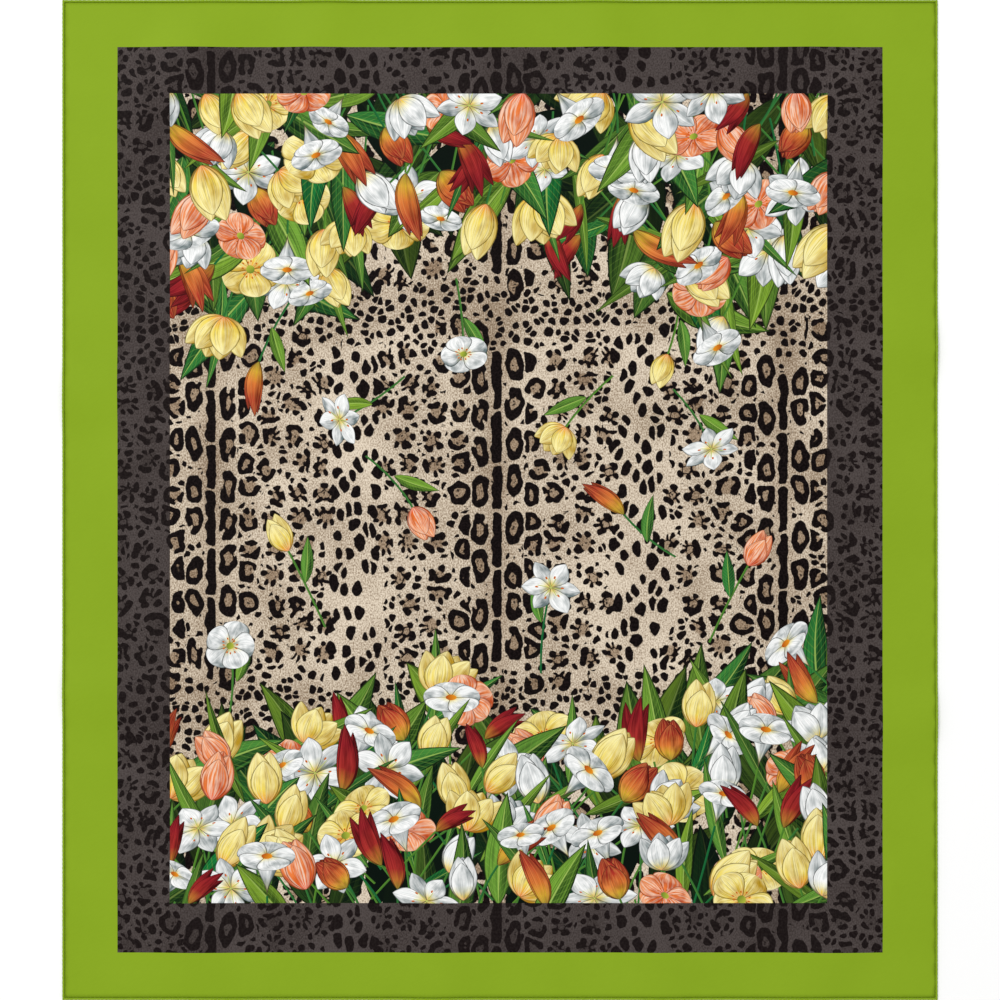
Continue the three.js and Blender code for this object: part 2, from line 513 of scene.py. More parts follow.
def uppermost(points):
    """The number of the uppermost layer at each point, or a ground as -3, -2 or -1."""
    found = np.full(len(points), -3)
    found[in_box(points, BAND_BOX)] = -2
    on_field = in_box(points, FIELD)
    found[on_field] = -1
    for number in range(len(layers) - 1, -1, -1):
        rim = layers[number]["outline"]
        near = (found == -1) & in_box(points, (*rim.min(0), *rim.max(0)))
        chosen = np.flatnonzero(near)
        if len(chosen):
            found[chosen[inside(points[chosen], rim)]] = number
    return found


# %% Triangulate
SNAP = 0.02 * MM


def triangulate(points, lines):
    points, _, faces, _, _, _ = delaunay_2d_cdt(
        [Vector(p) for p in points.tolist()], lines.tolist(), [], 0, SNAP, False
    )
    points = np.array([tuple(p) for p in points])
    faces = np.array(faces)
    centres = points[faces].mean(1)
    return points, faces, uppermost(centres)


def closed_lines(rims):
    """The points of all the rims in one array, and the lines that close each of them."""
    starts = np.cumsum([0] + [len(rim) for rim in rims])
    lines = []
    for start, rim in zip(starts, rims):
        here = start + np.arange(len(rim))
        lines.append(np.stack([here, np.roll(here, -1)], 1))
    return np.concatenate(rims), np.concatenate(lines)


def lines_between(faces, owners):
    """The edges that have a different owner on each side."""
    sides = np.sort(np.concatenate([faces[:, [0, 1]], faces[:, [1, 2]], faces[:, [2, 0]]]), 1)
    owner = np.tile(owners, 3)
    order = np.lexsort((sides[:, 1], sides[:, 0]))
    sides, owner = sides[order], owner[order]
    paired = (sides[1:] == sides[:-1]).all(1)
    return sides[1:][paired & (owner[1:] != owner[:-1])]


# %% Points that let the cloth bend
HEM_WIDTH = 3.4 * MM
HEM_HEIGHT = 2.8 * MM
CLOTH_BOX = (
    -SCARF_WIDTH / 2 + HEM_WIDTH / 2, -SCARF_LENGTH / 2 + HEM_WIDTH / 2,
    SCARF_WIDTH / 2 - HEM_WIDTH / 2, SCARF_LENGTH / 2 - HEM_WIDTH / 2,
)
WIDE_GRID = 16 * MM
FINE_GRID = 8 * MM


def grid_points(pitch):
    left, bottom, right, top = CLOTH_BOX
    columns, rows = round((right - left) / pitch), round((top - bottom) / pitch)
    x = left + (np.arange(columns) + 0.5) * (right - left) / columns
    y = bottom + (np.arange(rows) + 0.5) * (top - bottom) / rows
    grid = np.stack(np.meshgrid(x, y), 2)
    grid[1::2, :, 0] += 0.25 * pitch
    return grid.reshape(-1, 2)


def on_a_crease(points):
    near = np.zeros(len(points), bool)
    for ridge in CREASES:
        along, across = along_and_across(*points.T, ridge)
        near |= (np.abs(along) < ridge[3] * MM / 2) & (np.abs(across) < ridge[4] * MM / 2)
    return near


def edge_rim(box, pitch):
    """The edge of a box, with points close enough for it to follow the ripples."""
    left, bottom, right, top = box
    across, along = round((right - left) / pitch), round((top - bottom) / pitch)
    x = np.linspace(left, right, across + 1)
    y = np.linspace(bottom, top, along + 1)
    return np.concatenate([
        np.stack([x[:-1], np.full(across, bottom)], 1), np.stack([np.full(along, right), y[:-1]], 1),
        np.stack([x[:0:-1], np.full(across, top)], 1), np.stack([np.full(along, left), y[:0:-1]], 1),
    ])


# %% The planar map of the print
grounds = [edge_rim(BAND_BOX, FINE_GRID), edge_rim(FIELD, FINE_GRID)]
edge = edge_rim(CLOTH_BOX, FINE_GRID)
all_points, all_lines = closed_lines([edge, *grounds, *(layer["outline"] for layer in layers)])
inside_cloth = in_box(all_points, tuple(np.array(CLOTH_BOX) + np.array([-1, -1, 1, 1]) * SNAP))
print(f"{len(all_points)} outline points, {(~inside_cloth).sum()} of them outside the cloth")
first_points, first_faces, first_owners = triangulate(all_points, all_lines)
shared_lines = lines_between(first_faces, first_owners)

rim_points, rim_lines = closed_lines([edge])
fine = grid_points(FINE_GRID)
spread = np.concatenate([grid_points(WIDE_GRID), fine[on_a_crease(fine)]])
used, renumbered = np.unique(shared_lines, return_inverse=True)
map_points = np.concatenate([rim_points, first_points[used], spread])
map_lines = np.concatenate([rim_lines, renumbered.reshape(-1, 2) + len(rim_points)])
cloth_points, cloth_faces, cloth_owners = triangulate(map_points, map_lines)
print(f"the face of the cloth has {len(cloth_faces)} triangles")

# %% [markdown]
# ## The cloth
# The cloth is a closed shell: the printed face, its underside with the same print, because dye goes right
# through thin silk, and a narrow edge that joins them inside the hems. Each corner of each triangle is told
# where it lies on its petal or leaf. These are the attributes that the paints read.

# %% Build the shell
CLOTH_THICKNESS = 0.35 * MM
CLOTH_LIFT = 0.05 * MM


def edge_loop(faces):
    """The directed edges that only one triangle uses."""
    sides = np.concatenate([faces[:, [0, 1]], faces[:, [1, 2]], faces[:, [2, 0]]])
    keys, counts = np.unique(np.sort(sides, 1), axis=0, return_counts=True)
    rims = {tuple(key) for key in keys[counts == 1].tolist()}
    return np.array([side for side in sides.tolist() if tuple(sorted(side)) in rims])


def facing_up(points, faces):
    first, second, third = points[faces].transpose(1, 0, 2)
    ahead, aside = second - first, third - first
    turned_down = ahead[:, 0] * aside[:, 1] - ahead[:, 1] * aside[:, 0] < 0
    faces = faces.copy()
    faces[turned_down] = faces[turned_down][:, ::-1]
    return faces


def cloth_mesh(points, faces):
    floor = lift(*points.T) + CLOTH_LIFT
    top = np.column_stack([points, floor + CLOTH_THICKNESS])
    bottom = np.column_stack([points, floor])
    count = len(points)
    rim = edge_loop(faces)
    walls = np.concatenate([
        np.column_stack([rim[:, 0] + count, rim[:, 1] + count, rim[:, 1]]),
        np.column_stack([rim[:, 0] + count, rim[:, 1], rim[:, 0]]),
    ])
    triangles = np.concatenate([faces, faces[:, ::-1] + count, walls])
    mesh = bpy.data.meshes.new("printed_cloth")
    mesh.from_pydata(np.concatenate([top, bottom]).tolist(), [], triangles.tolist())
    return mesh, triangles, len(walls)


cloth_faces = facing_up(cloth_points, cloth_faces)
mesh, triangles, wall_count = cloth_mesh(cloth_points, cloth_faces)
print(f"the cloth has {len(triangles)} triangles, {wall_count} of them in its edge")

# %% Tell each corner its place on its petal
PAINTS = GROUNDS + [
    "white petal", "cream petal", "coral petal", "flame petal", "crimson petal",
    "leaf", "stem", "filament", "anther", "throat", "gold throat",
]


def corner_attribute(mesh, name, values):
    attribute = mesh.attributes.new(name, "FLOAT_VECTOR", "CORNER")
    attribute.data.foreach_set("vector", np.ascontiguousarray(values, np.float32).ravel())


def places_on_petals(xy, owners):
    """a, b and bend of each corner, from its place on the cloth and the shape that owns its triangle."""
    base, axes, bend = (np.array([layer[key] for layer in layers]) for key in ("base", "axes", "bend"))
    undo = np.linalg.inv(axes)
    painted = owners >= 0
    number = owners[painted]
    offset = xy[painted] - base[number]
    places = np.zeros((len(xy), 3))
    places[painted, :2] = np.einsum("nij,nj->ni", undo[number], offset)
    places[painted, 2] = bend[number]
    return places


def per_owner(key, owners):
    """A petal's form or tone at each corner, and zeros on the grounds."""
    values = [(*layer[key], 0.0)[:3] for layer in layers] + [(0.0, 0.0, 0.0)] * len(GROUNDS)
    return np.array(values)[owners]


face_owners = np.concatenate([cloth_owners, cloth_owners, np.full(wall_count, -3)])
corners = triangles.ravel()
corner_owners = np.repeat(face_owners, 3)
corner_xy = cloth_points[corners % len(cloth_points)]
corner_attribute(mesh, "petal_place", places_on_petals(corner_xy, corner_owners))
corner_attribute(mesh, "petal_form", per_owner("form", corner_owners))
corner_attribute(mesh, "petal_tone", per_owner("tone", corner_owners))
paint_numbers = [PAINTS.index(layer["paint"]) for layer in layers] + [0, 1, 2]
mesh.polygons.foreach_set("material_index", np.array(paint_numbers)[face_owners])
mesh.polygons.foreach_set("use_smooth", np.repeat([True, False], [2 * len(cloth_faces), wall_count]))
print(f"{(cloth_owners >= 0).mean():.0%} of the triangles are flowers and leaves")

# %% A flat map of the cloth
# The map lays the scarf out as it is, so that its pattern keeps one scale. The edge wall gets a thin strip
# of its own just outside.
MAP_MARGIN = 0.004


def flat_map(mesh):
    box = np.array(CLOTH_BOX)
    share = (corner_xy - box[:2]) / (box[2:] - box[:2])
    on_wall = np.repeat(np.arange(len(triangles)) >= 2 * len(cloth_faces), 3)
    outer = corners < len(cloth_points)
    spread = np.where((on_wall & outer)[:, None], 1.0, 1.0 - 2 * MAP_MARGIN)
    places = 0.5 + (share - 0.5) * spread
    layer = mesh.uv_layers.new(name="OFBake")
    layer.data.foreach_set("uv", places.astype(np.float32).ravel())


flat_map(mesh)
cloth = bpy.data.objects.new("printed_cloth", mesh)
bpy.context.scene.collection.objects.link(cloth)

# %% [markdown]
# ## Silk
# Twill shows as fine slanting ribs, with a soft gloss and a faint halo of fibres. The ribs are a small
# bump that leans across the cloth, and a slow unevenness is added because silk thread is never quite the
# same thickness. All the paints share this one finish, since they are dye in the same cloth.


# %% Short names for shader nodes
class Wiring:
    """Adds nodes to a tree. An input may be a number, a colour or another node's output."""

    def __init__(self, tree):
        self.tree = tree

    def node(self, kind, inputs=(), **settings):
        made = self.tree.nodes.new(kind)
        for name, value in settings.items():
            setattr(made, name, value)
        for name, value in dict(inputs).items():
            self.plug(made.inputs[name], value)
        return made

    def plug(self, socket, value):
        if isinstance(value, bpy.types.NodeSocket):
            self.tree.links.new(value, socket)
        else:
            socket.default_value = value

    def math(self, operation, *values, clamp=False):
        made = self.node("ShaderNodeMath", dict(enumerate(values)), operation=operation, use_clamp=clamp)
        return made.outputs[0]

    def sharp(self, low, high, value):
        """0 below low, 1 above high and soft between."""
        inputs = {"Value": value, "From Min": low, "From Max": high}
        made = self.node("ShaderNodeMapRange", inputs, interpolation_type="SMOOTHSTEP")
        return made.outputs[0]

    def mix(self, share, first, second, blend="MIX"):
        made = self.node("ShaderNodeMix", data_type="RGBA", blend_type=blend)
        for number, value in ((0, share), (6, first), (7, second)):
            self.plug(made.inputs[number], value)
        return made.outputs[2]

    def vector(self, x, y, z=0.0):
        return self.node("ShaderNodeCombineXYZ", {0: x, 1: y, 2: z}).outputs[0]

    def parts(self, vector):
        return self.node("ShaderNodeSeparateXYZ", {0: vector}).outputs

    def move(self, operation, *vectors):
        made = self.node("ShaderNodeVectorMath", dict(enumerate(vectors)), operation=operation)
        return made.outputs[0]

    def choose(self, test, yes, no):
        """yes where test is 1 and no where it is 0."""
        return self.node("ShaderNodeMix", {0: test, 2: no, 3: yes}).outputs[0]

    def noise(self, vector, scale, detail=2.0):
        inputs = {"Vector": vector, "Scale": scale, "Detail": detail}
        return self.node("ShaderNodeTexNoise", inputs, noise_dimensions="2D").outputs

    def cells(self, vector, feature="F1", spread=1.0):
        inputs = {"Vector": vector, "Scale": 1.0, "Randomness": spread}
        return self.node("ShaderNodeTexVoronoi", inputs, feature=feature, voronoi_dimensions="2D").outputs

    def steps(self, value, feature="F1", spread=1.0):
        """Uneven steps along one line: the same as cells, but in one direction only."""
        inputs = {"W": value, "Scale": 1.0, "Randomness": spread}
        return self.node("ShaderNodeTexVoronoi", inputs, feature=feature, voronoi_dimensions="1D").outputs

    def attribute(self, name):
        return self.node("ShaderNodeAttribute", attribute_name=name).outputs["Vector"]

    def give(self, values):
        """Connects the tree's outputs, given as name: value."""
        out = self.node("NodeGroupOutput")
        for name, value in values.items():
            self.plug(out.inputs[name], value)


def group_of(name, inputs, outputs):
    """A node group with number inputs and the outputs that are given as name: socket type."""
    tree = bpy.data.node_groups.new(name, "ShaderNodeTree")
    for label in inputs:
        tree.interface.new_socket(label, in_out="INPUT", socket_type="NodeSocketFloat")
    for label, kind in outputs.items():
        tree.interface.new_socket(label, in_out="OUTPUT", socket_type="NodeSocket" + kind)
    return tree


def colour(red, green, blue):
    """A shader colour from the 0 to 255 values that a screen shows."""
    shares = [value / 255 for value in (red, green, blue)]
    linear = [s / 12.92 if s <= 0.04045 else ((s + 0.055) / 1.055) ** 2.4 for s in shares]
    return (*linear, 1.0)


# %% Twill
RIB_SPACING = 0.55
RIB_LEAN = 58
RIB_DEPTH = 0.1


def twill_group():
    """Ribs and slubs of the silk, as the roughness and the normal of its surface."""
    tree = group_of("twill", [], {"Roughness": "Float", "Normal": "Vector", "Depth of colour": "Float"})
    n = Wiring(tree)
    place = n.node("ShaderNodeTexCoord").outputs["Object"]
    lean = (0, 0, math.radians(RIB_LEAN))
    turn = n.node(
        "ShaderNodeMapping", {"Vector": place, "Rotation": lean, "Scale": (1000,) * 3}
    ).outputs[0]
    across = n.parts(turn)[0]
    ribs = n.math("SINE", n.math("MULTIPLY", across, 2 * math.pi / RIB_SPACING))
    threads = n.node("ShaderNodeMapping", {"Vector": turn, "Scale": (0.9, 0.07, 1)}).outputs[0]
    slubs = n.noise(threads, 1.0)[0]
    waves = n.noise(place, 26.0, 3.0)[0]
    height = n.math("MULTIPLY_ADD", ribs, 0.5, n.math("MULTIPLY", slubs, 1.2))
    height = n.math("MULTIPLY_ADD", waves, 6.0, height)
    bump = n.node("ShaderNodeBump", {"Strength": RIB_DEPTH, "Distance": MM, "Height": height})
    n.give({
        "Roughness": n.math("MULTIPLY_ADD", slubs, 0.16, 0.42),
        "Normal": bump.outputs[0],
        "Depth of colour": n.math("MULTIPLY_ADD", slubs, 0.06, 0.94),
    })
    return tree


TWILL = twill_group()
SILK_GLOSS = 0.05
SILK_HALO = 0.01
HALO_ROUGHNESS = 0.35


def silk(name, paint):
    """A silk material. paint(wiring) gives the colour of its dye."""
    material = bpy.data.materials.new(name)
    material.use_nodes = True
    tree = material.node_tree
    n = Wiring(tree)
    surface = tree.nodes["Principled BSDF"]
    weave = n.node("ShaderNodeGroup", node_tree=TWILL)
    dye = n.mix(1.0, paint(n), n.vector(*[weave.outputs["Depth of colour"]] * 3), "MULTIPLY")
    n.plug(surface.inputs["Base Color"], dye)
    n.plug(surface.inputs["Roughness"], weave.outputs["Roughness"])
    n.plug(surface.inputs["Normal"], weave.outputs["Normal"])
    surface.inputs["Specular IOR Level"].default_value = SILK_GLOSS
    surface.inputs["Sheen Weight"].default_value = SILK_HALO
    surface.inputs["Sheen Roughness"].default_value = HALO_ROUGHNESS
    return material


# %% [markdown]
# ## Leopard
# A leopard's coat has a spine of long black bars, a column of tall rings on each side of it, rings that
# break into spots further out, and plain spots on the belly. The coat is printed three times side by side.
# Each mark grows in a cell of its own: the place's distance from the cell's centre and from its edge says
# how deep it lies in the mark, in millimetres. A mark is black where its depth is over 0, and a smooth
# minimum of two depths rounds its corners. A ring is cut by lines from its centre, and each piece that is
# left has round ends. Whether a cell has a mark is asked of its centre, never of the place, so that no
# mark is cut in half.

# %% Where the coat changes
# All in millimetres: how wide one coat is and where the middle spine lies, how far apart the marks are,
# and how far from its spine each kind of mark starts
COAT_REPEAT = 392.0
COAT_MIDDLE = -4.0
BAR_PITCH = 66.0
COLUMN_FROM, COLUMN_TO, COLUMN_PITCH = 10.5, 36.0, 56.0
RING_PITCH = 37.0
BELLY_FROM = 159.0
SMALL_STRIPS, STRIP_REACH = (262.0, -284.0), 36.0
SMALL_SPOTS_MISSING = 0.22
# How far the marks are pushed about as a whole, and how ragged their edges are
SWAY, RAG = 9.0, 1.5
# The depth of a place that has no mark near it
NOWHERE = -50.0


def from_spine(n, x):
    """How far x is from the nearest spine, in millimetres, signed."""
    half = COAT_REPEAT / 2
    return n.math("WRAP", n.math("SUBTRACT", x, COAT_MIDDLE), half, -half)


def in_small_strip(n, x, y):
    """1 in the two strips across the coat where the spots are small."""
    level = n.math("MULTIPLY_ADD", n.math("SINE", n.math("DIVIDE", x, 41.0)), 16.0, y)
    upper, lower = (n.math("ABSOLUTE", n.math("SUBTRACT", level, strip)) for strip in SMALL_STRIPS)
    return n.math("LESS_THAN", n.math("MINIMUM", upper, lower), STRIP_REACH)


# %% Bars of the spine and plain spots
# How far the centres stray from an even row or grid, from 0 to 1
BARS_STRAY, SPOTS_STRAY, COLUMN_STRAY, FLANK_STRAY = 0.7, 0.92, 0.5, 0.62
# (pitch across and along, least and greatest half width, margin) of the spots on the belly and elsewhere
BELLY_SPOTS = ((18.0, 27.0), (5.4, 9.6), 1.1)
SMALL_SPOTS = ((14.0, 14.0), (4.8, 7.0), 0.0)


def spine_bars(n, place, x, y, distance):
    level = n.math("DIVIDE", y, BAR_PITCH)
    cell = n.steps(level, "F1", BARS_STRAY)
    gap = n.steps(level, "DISTANCE_TO_EDGE", BARS_STRAY)[0]
    end = n.math("MULTIPLY_ADD", gap, BAR_PITCH, -1.4)
    half = n.math("MULTIPLY_ADD", n.noise(place, 0.05, 1.0)[0], 4.2, 4.4)
    bars = n.math("SMOOTH_MIN", end, n.math("SUBTRACT", half, distance), 9.0)
    small = in_small_strip(n, x, n.math("MULTIPLY", cell[3], BAR_PITCH))
    return n.choose(small, NOWHERE, bars)


def plain_spots(n, place, pitch, sizes, margin):
    """How deep a place lies in a spot, the spot's centre and its own draw of chance."""
    across, along = pitch
    least, most = sizes
    grid = n.move("MULTIPLY", place, (1 / across, 1 / along, 1))
    cell = n.cells(grid, spread=SPOTS_STRAY)
    edge = n.math("MULTIPLY", n.cells(grid, "DISTANCE_TO_EDGE", SPOTS_STRAY)[0], across)
    draw, size_draw, _ = n.parts(cell[1])
    offset = n.move("MULTIPLY", n.move("SUBTRACT", grid, cell[2]), (across, across, 0))
    far = n.node("ShaderNodeVectorMath", {0: offset}, operation="LENGTH").outputs["Value"]
    size = n.math("MULTIPLY_ADD", size_draw, most - least, least)
    round_depth, edge_depth = n.math("SUBTRACT", size, far), n.math("SUBTRACT", edge, margin)
    depth = n.math("SMOOTH_MIN", round_depth, edge_depth, 7.0)
    centre_x, centre_y, _ = n.parts(n.move("MULTIPLY", cell[2], (across, along, 0)))
    return depth, centre_x, centre_y, draw


# %% Rings that break into pieces
FEWEST_PIECES, MORE_WHERE_OPEN, MORE_BY_CHANCE = 3.6, 1.5, 1.8
# What a cut takes from the piece on each side of it, and how far off a line counts that doesn't cut
CUT_TAKES, UNCUT_ADDS = -1.8, 7.0
RING_GAP = 2.0
RING_THICKNESS, THICKER_WHERE_OPEN = 5.0, 1.8


def cuts_round(n, dx, dy, seed, draw, openness):
    """How far a place is from the nearest line from the centre that cuts the ring, and that in pieces."""
    turn = n.math("MULTIPLY_ADD", n.math("ARCTAN2", dy, dx), 1 / (2 * math.pi), 0.5)
    phase = n.math("MULTIPLY", seed, 60.0)
    once = n.math("SINE", n.math("MULTIPLY_ADD", turn, 2 * math.pi, phase))
    twice = n.math("SINE", n.math("MULTIPLY_ADD", turn, 4 * math.pi, n.math("MULTIPLY", phase, 1.7)))
    uneven = n.math("MULTIPLY_ADD", once, 0.05, n.math("MULTIPLY_ADD", twice, 0.025, turn))
    pieces = n.math("MULTIPLY_ADD", openness, MORE_WHERE_OPEN, FEWEST_PIECES)
    pieces = n.math("ROUND", n.math("MULTIPLY_ADD", draw, MORE_BY_CHANCE, pieces))
    step = n.math("MULTIPLY_ADD", uneven, pieces, phase)
    to_cut = n.math("PINGPONG", step, 0.5)
    number = n.math("FLOORED_MODULO", n.math("ROUND", step), pieces)
    white = n.node("ShaderNodeTexWhiteNoise", {"Vector": n.vector(number, phase)}, noise_dimensions="2D")
    is_cut = n.math("LESS_THAN", white.outputs[0], n.math("MULTIPLY_ADD", openness, 0.8, 0.13))
    radius = n.math("SQRT", n.math("ADD", n.math("MULTIPLY", dx, dx), n.math("MULTIPLY", dy, dy)))
    arc = n.math("DIVIDE", n.math("MULTIPLY", n.math("MAXIMUM", radius, 7.0), 2 * math.pi), pieces)
    cut = n.math("MULTIPLY_ADD", to_cut, arc, n.choose(is_cut, CUT_TAKES, UNCUT_ADDS))
    cut = n.math("MULTIPLY_ADD", n.sharp(8.0, 4.0, radius), 8.0, cut)
    return cut, to_cut, radius


def broken_ring(n, place, cell):
    """How deep a place lies in the black of its ring, and in the whole ring with its centre."""
    given = [cell[key] for key in ("dx", "dy", "seed", "draw", "openness")]
    cut, to_cut, radius = cuts_round(n, *given)
    # A piece bulges in its middle, and the more so the further out the ring is
    bulge = n.math("MULTIPLY_ADD", to_cut, 6.5, -2.4)
    bulge = n.math("MULTIPLY", bulge, n.math("MULTIPLY_ADD", cell["openness"], 0.75, 0.25))
    rim = n.math("ADD", n.math("SUBTRACT", cell["size"], radius), bulge)
    inner = n.math("SMOOTH_MIN", rim, n.math("SUBTRACT", cell["gap"], RING_GAP), 7.5)
    thick = n.math("MULTIPLY_ADD", n.noise(place, 0.11, 1.0)[0], 3.6, RING_THICKNESS)
    thick = n.math("MULTIPLY_ADD", cell["openness"], THICKER_WHERE_OPEN, thick)
    thick = n.math("MULTIPLY_ADD", to_cut, 3.2, thick)
    half = n.math("MULTIPLY", thick, 0.5)
    beside = n.math("SUBTRACT", inner, half)
    beyond = n.math("MAXIMUM", n.math("SUBTRACT", half, cut), 0.0)
    far = n.math("SQRT", n.math("MULTIPLY_ADD", beside, beside, n.math("MULTIPLY", beyond, beyond)))
    return n.math("SUBTRACT", half, far), inner


# %% The cells of the rings
def column_cells(n, flank_y, distance):
    """Tall cells in a column beside the spine, each leaning a little."""
    level = n.math("DIVIDE", flank_y, COLUMN_PITCH)
    _, chance_here, _, own = n.steps(level, "F1", COLUMN_STRAY)[:4]
    gap = n.math("MULTIPLY", n.steps(level, "DISTANCE_TO_EDGE", COLUMN_STRAY)[0], COLUMN_PITCH)
    seed, draw, _ = n.parts(chance_here)
    off_y = n.math("MULTIPLY", n.math("SUBTRACT", level, own), COLUMN_PITCH)
    off_x = n.math("SUBTRACT", distance, (COLUMN_FROM + COLUMN_TO) / 2)
    lean = n.math("MULTIPLY_ADD", draw, 0.3, -0.15)
    return {
        "dx": n.math("MULTIPLY_ADD", off_y, lean, off_x), "dy": n.math("MULTIPLY", off_y, 0.5),
        "gap": gap, "size": 12.3, "seed": seed, "draw": draw, "openness": 0.0,
        "y": n.math("MULTIPLY", own, COLUMN_PITCH), "none": n.math("LESS_THAN", distance, COLUMN_FROM - 1),
    }


def flank_cells(n, flank_y, distance):
    """Cells beyond the column, where the rings open more and more towards the belly."""
    out = n.math("MULTIPLY_ADD", distance, 1 / RING_PITCH, -COLUMN_TO / RING_PITCH)
    grid = n.vector(out, n.math("DIVIDE", flank_y, RING_PITCH))
    cell = n.cells(grid, spread=FLANK_STRAY)
    gap = n.math("MULTIPLY", n.cells(grid, "DISTANCE_TO_EDGE", FLANK_STRAY)[0], RING_PITCH)
    gap = n.math("MINIMUM", gap, n.math("SUBTRACT", distance, COLUMN_TO - 1.0))
    seed, draw, _ = n.parts(cell[1])
    dx, dy, _ = n.parts(n.move("MULTIPLY", n.move("SUBTRACT", grid, cell[2]), (RING_PITCH,) * 3))
    centre_out, centre_y, _ = n.parts(n.move("MULTIPLY", cell[2], (RING_PITCH,) * 3))
    centre_distance = n.math("ADD", centre_out, COLUMN_TO)
    past = n.math("GREATER_THAN", centre_distance, BELLY_FROM)
    return {
        "dx": dx, "dy": dy, "gap": gap, "size": n.math("MULTIPLY_ADD", draw, 3.0, 15.2),
        "seed": seed, "draw": draw, "openness": n.sharp(32.0, 105.0, centre_distance), "y": centre_y,
        "none": n.math("MAXIMUM", past, n.math("LESS_THAN", centre_out, 0.0)),
    }


# %% The whole coat
def leopard_group():
    outputs = dict.fromkeys(("Spot", "Brown", "Tone", "Ink"), "Float")
    tree = group_of("leopard coat", [], outputs)
    n = Wiring(tree)
    mm = n.move("MULTIPLY", n.node("ShaderNodeTexCoord").outputs["Object"], (1000.0, 1000.0, 0.0))
    sway = n.move("SUBTRACT", n.noise(mm, 0.05, 1.0)[1], (0.5,) * 3)
    rag = n.move("SUBTRACT", n.noise(mm, 0.2, 2.0)[1], (0.5,) * 3)
    place = n.move("MULTIPLY_ADD", sway, (SWAY,) * 3, mm)
    place = n.move("MULTIPLY_ADD", rag, (RAG,) * 3, place)
    x, y, _ = n.parts(place)
    spine = from_spine(n, x)
    distance = n.math("ABSOLUTE", spine)
    repeat = n.math("MULTIPLY_ADD", x, 1 / COAT_REPEAT, 0.5 - COAT_MIDDLE / COAT_REPEAT)
    repeat = n.math("FLOOR", repeat)
    shift = n.math("MULTIPLY_ADD", n.math("SIGN", spine), 333.0, n.math("MULTIPLY", repeat, 517.0))
    flank_y = n.math("ADD", y, shift)
    bars = spine_bars(n, place, x, n.math("MULTIPLY_ADD", repeat, 29.0, y), distance)

    in_column = n.math("LESS_THAN", distance, COLUMN_TO)
    column, flank = column_cells(n, flank_y, distance), flank_cells(n, flank_y, distance)
    cell = {key: n.choose(in_column, column[key], flank[key]) for key in column}
    ring, inner = broken_ring(n, place, cell)
    in_strip = in_small_strip(n, x, n.math("SUBTRACT", cell["y"], shift))
    none = n.math("MAXIMUM", cell["none"], in_strip)
    ring, inner = n.choose(none, NOWHERE, ring), n.choose(none, NOWHERE, inner)

    belly, belly_x, belly_y, _ = plain_spots(n, place, *BELLY_SPOTS)
    none = n.math("LESS_THAN", n.math("ABSOLUTE", from_spine(n, belly_x)), BELLY_FROM + 2)
    none = n.math("MAXIMUM", none, in_small_strip(n, x, belly_y))
    belly = n.choose(none, NOWHERE, belly)

    # Small spots wherever nothing else is near, but not on the belly
    taken = n.math("MAXIMUM", n.math("MAXIMUM", bars, inner), belly)
    small, _, _, draw = plain_spots(n, place, *SMALL_SPOTS)
    crowding = n.math("MAXIMUM", n.math("ADD", taken, 6.0), 0.0)
    small = n.math("MULTIPLY_ADD", n.math("POWER", crowding, 0.5), -1.9, small)
    on_belly = n.math("GREATER_THAN", distance, BELLY_FROM - 4)
    bare = n.math("MAXIMUM", on_belly, n.math("LESS_THAN", draw, SMALL_SPOTS_MISSING))
    bare = n.math("MULTIPLY", bare, n.math("SUBTRACT", 1.0, in_small_strip(n, x, y)))
    small = n.choose(bare, NOWHERE, small)
    mark = n.math("MAXIMUM", n.math("MAXIMUM", bars, ring), n.math("MAXIMUM", belly, small))

    # A few dots in the brown centres
    dot = n.cells(n.move("MULTIPLY", place, (1 / 7.0,) * 3))
    dotted = n.math("GREATER_THAN", n.parts(dot[1])[0], 0.5)
    dotted = n.math("MULTIPLY", dotted, n.math("GREATER_THAN", inner, 8.8))
    dots = n.math("MULTIPLY", n.sharp(0.27, 0.17, dot[0]), dotted)
    centre_brown = n.math("MULTIPLY", n.sharp(1.5, 6.5, inner), 0.9)
    spine_brown = n.math("MULTIPLY", n.sharp(30.0, 4.0, distance), 0.4)
    n.give({
        "Spot": n.math("MAXIMUM", n.sharp(-0.4, 0.5, mark), n.math("MULTIPLY", dots, 0.85)),
        "Brown": n.math("MAXIMUM", centre_brown, spine_brown),
        "Tone": fur_tone(n, mm, distance, y),
        "Ink": n.sharp(0.35, 0.7, n.noise(mm, 0.33, 3.0)[0]),
    })
    print(f"the leopard coat takes {len(tree.nodes)} nodes")
    return tree


def fur_tone(n, mm, distance, y):
    """0 for light fur and 1 for dark: grain, clouds, and darker by the spine and in the small strips."""
    grain = n.noise(n.move("MULTIPLY", mm, (1.0, 0.7, 0.0)), 0.55, 4.0)[0]
    clouds = n.noise(mm, 0.012, 2.0)[0]
    tone = n.math("MULTIPLY_ADD", grain, 2.6, n.math("MULTIPLY_ADD", clouds, 0.9, -1.3))
    tone = n.math("MULTIPLY_ADD", n.sharp(110.0, 10.0, distance), 0.09, tone)
    tone = n.math("MULTIPLY_ADD", n.sharp(120.0, 165.0, distance), -0.06, tone)
    upper, lower = (n.math("ABSOLUTE", n.math("SUBTRACT", y, strip)) for strip in SMALL_STRIPS)
    to_strip = n.sharp(60.0, 20.0, n.math("MINIMUM", upper, lower))
    return n.math("MULTIPLY_ADD", to_strip, 0.18, tone, clamp=True)


LEOPARD = leopard_group()

